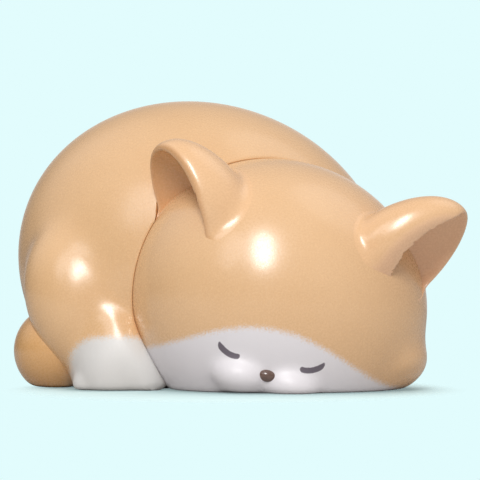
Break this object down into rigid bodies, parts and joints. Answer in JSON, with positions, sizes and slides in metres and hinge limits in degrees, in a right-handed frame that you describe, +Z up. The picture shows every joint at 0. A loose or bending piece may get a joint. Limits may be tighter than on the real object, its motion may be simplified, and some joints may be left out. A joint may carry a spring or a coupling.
{
  "type": "sleeping animal figurine",
  "caption": "Small glossy vinyl figurine of a curled sleeping animal: hollow body and nested head flat on the ground, cupped ears, tail lobe, nose bead.",
  "frame": {"origin": "on the ground, under the middle of the figurine's bounding box", "axes": "+X to the viewer's right as the face is seen, +Y away from the viewer, +Z up; the figurine stands on z = 0"},
  "size_m": [0.0852, 0.072, 0.0551],
  "materials": {
    "body_vinyl": "glossy sprayed tan vinyl, white paint on the paw",
    "head_vinyl": "glossy sprayed tan vinyl, white paint on the face, painted closed eyes",
    "ear_vinyl": "glossy sprayed tan vinyl, browner in the cup",
    "tail_vinyl": "glossy vinyl, a deeper orange tan",
    "nose_gloss": "dark brown gloss paint",
    "plug_vinyl": "plain unpainted tan vinyl"
  },
  "bodies": {
    "root": {"body_shell": "body_vinyl", "head_shell": "head_vinyl", "left_ear": "ear_vinyl", "right_ear": "ear_vinyl", "tail": "tail_vinyl", "nose": "nose_gloss", "base_plug": "plug_vinyl"}
  },
  "joints": []
}
